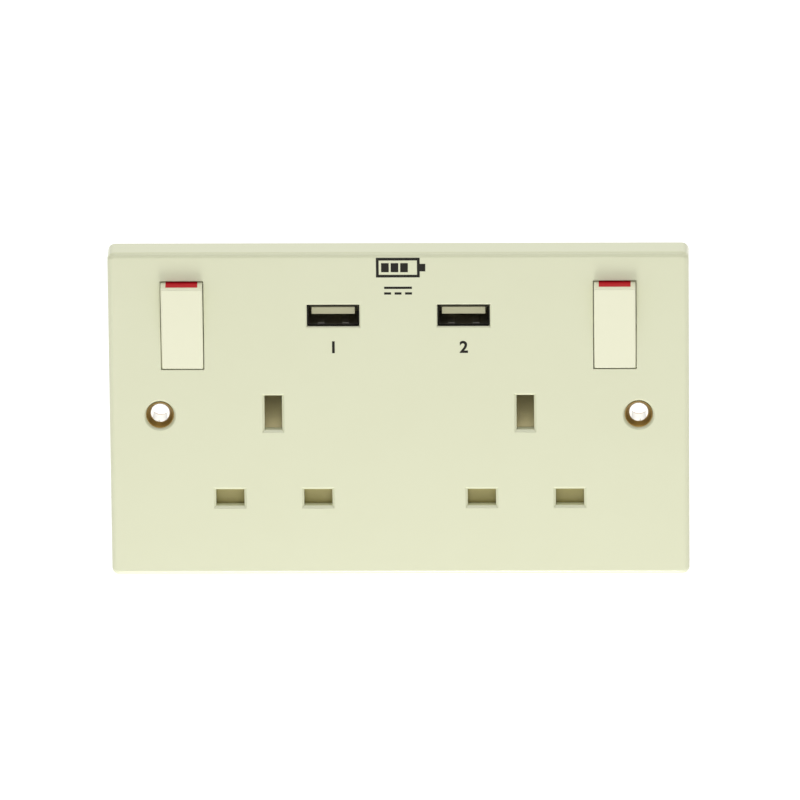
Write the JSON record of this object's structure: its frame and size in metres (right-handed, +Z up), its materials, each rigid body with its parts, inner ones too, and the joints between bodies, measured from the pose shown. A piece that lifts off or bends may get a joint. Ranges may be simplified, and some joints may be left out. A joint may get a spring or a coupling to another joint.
{
  "type": "usb wall socket",
  "caption": "Double switched wall socket in cream plastic with rocker switches, shuttered pin apertures and charging ports, screwed to a recessed back box.",
  "frame": {"origin": "centre of the plate's wall plane, midway between the two fixing holes", "axes": "+X right as seen from the front, +Y into the wall, +Z up"},
  "size_m": [0.146, 0.0341, 0.086],
  "materials": {
    "plate_plastic": "glossy cream moulding",
    "rocker_plastic": "glossy cream moulding, a little lighter",
    "red_plastic": "glossy red insert",
    "shutter_plastic": "satin cream moulding",
    "housing_plastic": "satin off-white moulding",
    "ferrule_brass": "dull turned brass",
    "contact_brass": "stamped brass",
    "steel": "zinc plated steel",
    "port_steel": "nickel plated steel sheet",
    "tongue_plastic": "satin cream insulator",
    "port_contacts": "gilt contact strips",
    "board_green": "green laminate",
    "dark_plastic": "black moulding",
    "can_plastic": "dark sleeve"
  },
  "bodies": {
    "base": {"earth_contact_left": "contact_brass", "earth_contact_right": "contact_brass", "earth_strap": "contact_brass", "earth_terminal": "contact_brass", "fixing_ferrule_left": "ferrule_brass", "fixing_ferrule_right": "ferrule_brass", "front_plate": "plate_plastic", "housing_screws": "steel", "live_contact_left": "contact_brass", "live_contact_right": "contact_brass", "live_feed_bar": "contact_brass", "live_terminal": "contact_brass", "neutral_bar": "contact_brass", "neutral_contact_left": "contact_brass", "neutral_contact_right": "contact_brass", "neutral_terminal": "contact_brass", "rear_housing": "housing_plastic", "shutter_spring_left": "steel", "shutter_spring_right": "steel", "switched_live_bar_left": "contact_brass", "switched_live_bar_right": "contact_brass", "usb_board": "board_green", "usb_contacts_left": "port_contacts", "usb_contacts_right": "port_contacts", "usb_control_chip": "dark_plastic", "usb_cover": "housing_plastic", "usb_input_capacitor": "can_plastic", "usb_neutral_link": "contact_brass", "usb_output_capacitor": "can_plastic", "usb_rectifier": "dark_plastic", "usb_shell_left": "port_steel", "usb_shell_right": "port_steel", "usb_tongue_left": "tongue_plastic", "usb_tongue_right": "tongue_plastic", "usb_transformer": "dark_plastic"},
    "rocker_left": {"rocker_left": "rocker_plastic", "rocker_flash_left": "red_plastic", "rocker_spring_left": "steel"},
    "plunger_left": {"plunger_left": "tongue_plastic"},
    "moving_contact_left": {"moving_contact_left": "contact_brass"},
    "shutter_left": {"shutter_left": "shutter_plastic"},
    "rocker_right": {"rocker_right": "rocker_plastic", "rocker_flash_right": "red_plastic", "rocker_spring_right": "steel"},
    "plunger_right": {"plunger_right": "tongue_plastic"},
    "moving_contact_right": {"moving_contact_right": "contact_brass"},
    "shutter_right": {"shutter_right": "shutter_plastic"},
    "neutral_terminal_screw": {"neutral_terminal_screw": "steel"},
    "earth_terminal_screw": {"earth_terminal_screw": "steel"},
    "live_terminal_screw": {"live_terminal_screw": "steel"}
  },
  "joints": [
    {"name": "rocker_left_tilt", "type": "hinge", "parent": "base", "child": "rocker_left", "pos_m": [-0.0544, -0.004, 0.0239], "axis": [1, 0, 0], "range_deg": [-14, 0]},
    {"name": "plunger_left_slide", "type": "slide", "parent": "rocker_left", "child": "plunger_left", "axis": [0, -0.9925, -0.1219], "range_m": [0, 0.0008], "stiffness_N_per_m": 200, "springref_m": -0.002, "deforming": ["rocker_spring_left"]},
    {"name": "moving_contact_left_tilt", "type": "hinge", "parent": "base", "child": "moving_contact_left", "pos_m": [-0.0544, 0.00642, 0.0239], "axis": [1, 0, 0], "range_deg": [0, 20]},
    {"name": "shutter_left_slide", "type": "slide", "parent": "base", "child": "shutter_left", "axis": [0, 0, -1], "range_m": [0, 0.0062], "stiffness_N_per_m": 60, "springref_m": -0.004, "deforming": ["shutter_spring_left"]},
    {"name": "rocker_right_tilt", "type": "hinge", "parent": "base", "child": "rocker_right", "pos_m": [0.0544, -0.004, 0.0239], "axis": [1, 0, 0], "range_deg": [-14, 0]},
    {"name": "plunger_right_slide", "type": "slide", "parent": "rocker_right", "child": "plunger_right", "axis": [0, -0.9925, -0.1219], "range_m": [0, 0.0008], "stiffness_N_per_m": 200, "springref_m": -0.002, "deforming": ["rocker_spring_right"]},
    {"name": "moving_contact_right_tilt", "type": "hinge", "parent": "base", "child": "moving_contact_right", "pos_m": [0.0544, 0.00642, 0.0239], "axis": [1, 0, 0], "range_deg": [0, 20]},
    {"name": "shutter_right_slide", "type": "slide", "parent": "base", "child": "shutter_right", "axis": [0, 0, -1], "range_m": [0, 0.0062], "stiffness_N_per_m": 60, "springref_m": -0.004, "deforming": ["shutter_spring_right"]},
    {"name": "neutral_terminal_screw_travel", "type": "slide", "parent": "base", "child": "neutral_terminal_screw", "axis": [0, -1, 0], "range_m": [0, 0.0034]},
    {"name": "earth_terminal_screw_travel", "type": "slide", "parent": "base", "child": "earth_terminal_screw", "axis": [0, -1, 0], "range_m": [0, 0.0034]},
    {"name": "live_terminal_screw_travel", "type": "slide", "parent": "base", "child": "live_terminal_screw", "axis": [0, -1, 0], "range_m": [0, 0.0034]}
  ],
  "couplings": [
    {"joint": "moving_contact_left_tilt", "follows": "rocker_left_tilt", "ratio": -1.4285},
    {"joint": "moving_contact_right_tilt", "follows": "rocker_right_tilt", "ratio": -1.4285}
  ]
}
